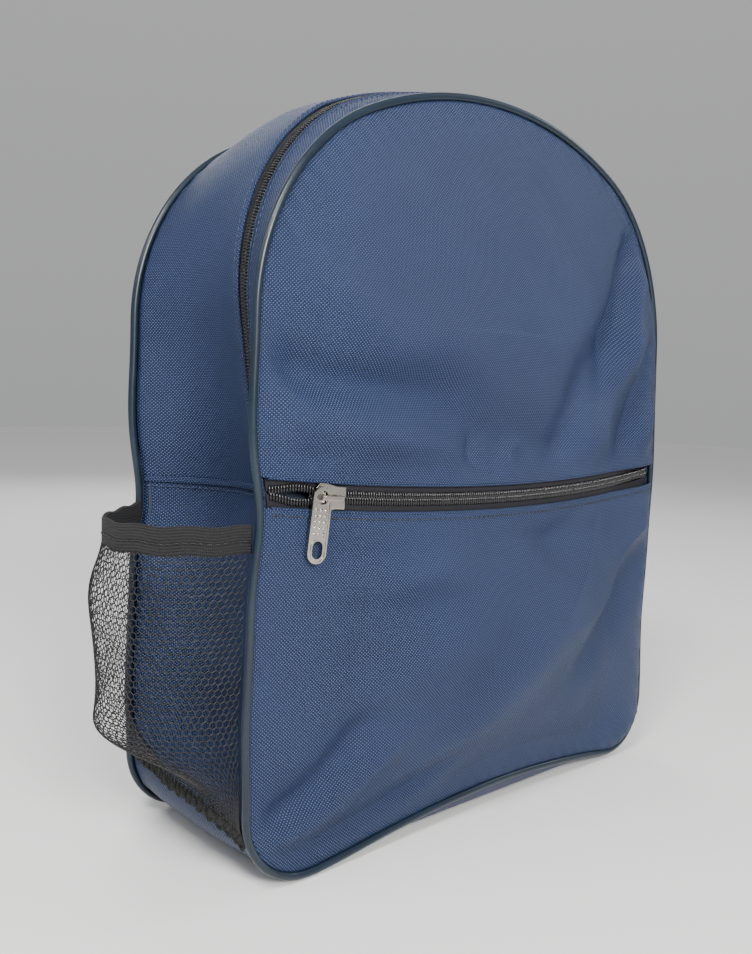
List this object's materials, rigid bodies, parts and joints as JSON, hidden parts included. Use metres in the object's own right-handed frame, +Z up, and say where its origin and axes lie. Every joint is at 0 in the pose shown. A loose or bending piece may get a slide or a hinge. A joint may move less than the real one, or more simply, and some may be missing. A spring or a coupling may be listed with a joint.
{
  "type": "school backpack",
  "caption": "Small arched school backpack with a zipped front pocket, zipped top, mesh bottle pockets, padded shoulder straps and a carrying loop",
  "frame": {"origin": "middle of the base, on the floor that the bag stands on", "axes": "X to the right seen from the front, Y from the front to the wearer's back, Z up"},
  "size_m": [0.3242, 0.1565, 0.3349],
  "materials": {
    "navy_fabric": "plain woven coated polyester, satin threads",
    "lining": "thin coated polyester, matt",
    "foam": "closed-cell foam",
    "piping_vinyl": "glossy vinyl",
    "zip_tape": "fine woven tape, matt",
    "zip_coil": "satin nylon",
    "slider_metal": "nickel plated, bright",
    "mesh": "knitted net, satin",
    "elastic": "ribbed elastic, matt",
    "webbing": "woven polypropylene webbing, satin",
    "buckle_plastic": "moulded acetal, satin"
  },
  "bodies": {
    "bag": {"front_upper_panel": "navy_fabric", "front_pocket_panel": "navy_fabric", "pocket_inner_wall": "lining", "gusset_front_strip": "navy_fabric", "gusset_rear_strip": "navy_fabric", "lower_gusset": "navy_fabric", "back_panel_fabric": "navy_fabric", "back_foam": "foam", "back_lining": "lining", "piping_front": "piping_vinyl", "piping_rear": "piping_vinyl", "seam_binding_front": "lining", "seam_binding_rear": "lining", "pocket_zip_tape_upper": "zip_tape", "pocket_zip_tape_lower": "zip_tape", "pocket_zip_coil_upper": "zip_coil", "pocket_zip_coil_lower": "zip_coil", "main_zip_tape_front": "zip_tape", "main_zip_tape_rear": "zip_tape", "main_zip_coil_front": "zip_coil", "main_zip_coil_rear": "zip_coil", "main_zip_end_patches": "navy_fabric", "mesh_pocket_left": "mesh", "mesh_pocket_right": "mesh", "elastic_band_left": "elastic", "elastic_band_right": "elastic", "mesh_hem_left": "elastic", "mesh_hem_right": "elastic", "strap_yoke_patch": "navy_fabric", "lower_webbing_left": "webbing", "lower_webbing_right": "webbing", "strap_anchor_left": "navy_fabric", "strap_anchor_right": "navy_fabric"},
    "pocket slider": {"pocket_zip_slider": "slider_metal"},
    "pocket pull": {"pocket_zip_pull": "slider_metal"},
    "left slider": {"main_zip_slider_left": "slider_metal"},
    "left pull": {"main_zip_pull_left": "slider_metal"},
    "right slider": {"main_zip_slider_right": "slider_metal"},
    "right pull": {"main_zip_pull_right": "slider_metal"},
    "haul loop": {"haul_loop": "webbing"},
    "left strap": {"strap_pad_left": "navy_fabric", "strap_webbing_left": "webbing", "strap_loop_left": "webbing"},
    "right strap": {"strap_pad_right": "navy_fabric", "strap_webbing_right": "webbing", "strap_loop_right": "webbing"},
    "left lock": {"ladder_lock_left": "buckle_plastic", "strap_tail_left": "webbing"},
    "right lock": {"ladder_lock_right": "buckle_plastic", "strap_tail_right": "webbing"}
  },
  "joints": [
    {"name": "pocket slider travel", "type": "hinge", "parent": "bag", "child": "pocket slider", "pos_m": [0, 0.5195, 0.46392], "axis": [0, 0.4763, -0.8793], "range_deg": [-18.5, 0.9]},
    {"name": "pocket pull swing", "type": "hinge", "parent": "pocket slider", "child": "pocket pull", "pos_m": [-0.10589, -0.05283, 0.15607], "axis": [-0.1356, -0.9908, 0.005], "range_deg": [-50, 50]},
    {"name": "left slider travel", "type": "hinge", "parent": "bag", "child": "left slider", "pos_m": [0, -0.024, 0.136], "axis": [0, 1, 0], "range_deg": [-44, 1]},
    {"name": "left pull lift", "type": "hinge", "parent": "left slider", "child": "left pull", "pos_m": [0.07287, -0.0248, 0.32099], "axis": [0.0733, 0.9798, 0.1861], "range_deg": [0, 100]},
    {"name": "right slider travel", "type": "hinge", "parent": "bag", "child": "right slider", "pos_m": [0.041, -0.024, 0.22501], "axis": [0, 1, 0], "range_deg": [-1, 55]},
    {"name": "right pull lift", "type": "hinge", "parent": "right slider", "child": "right pull", "pos_m": [0.09141, -0.0248, 0.31232], "axis": [-0.1, -0.9798, -0.1732], "range_deg": [0, 100]},
    {"name": "haul loop lift", "type": "hinge", "parent": "bag", "child": "haul loop", "pos_m": [0, 0.0541, 0.317], "axis": [1, 0, 0], "range_deg": [0, 170]},
    {"name": "left strap lift", "type": "hinge", "parent": "bag", "child": "left strap", "pos_m": [-0.042, 0.055, 0.268], "axis": [1, 0, 0], "range_deg": [0, 20], "deforming": ["lower_webbing_left"]},
    {"name": "left lock tilt", "type": "hinge", "parent": "left strap", "child": "left lock", "pos_m": [-0.089, 0.0662, 0.0858], "axis": [1, 0, 0], "range_deg": [0, 35]},
    {"name": "right strap lift", "type": "hinge", "parent": "bag", "child": "right strap", "pos_m": [0.042, 0.055, 0.268], "axis": [1, 0, 0], "range_deg": [0, 20], "deforming": ["lower_webbing_right"]},
    {"name": "right lock tilt", "type": "hinge", "parent": "right strap", "child": "right lock", "pos_m": [0.089, 0.0662, 0.0858], "axis": [1, 0, 0], "range_deg": [0, 35]}
  ]
}
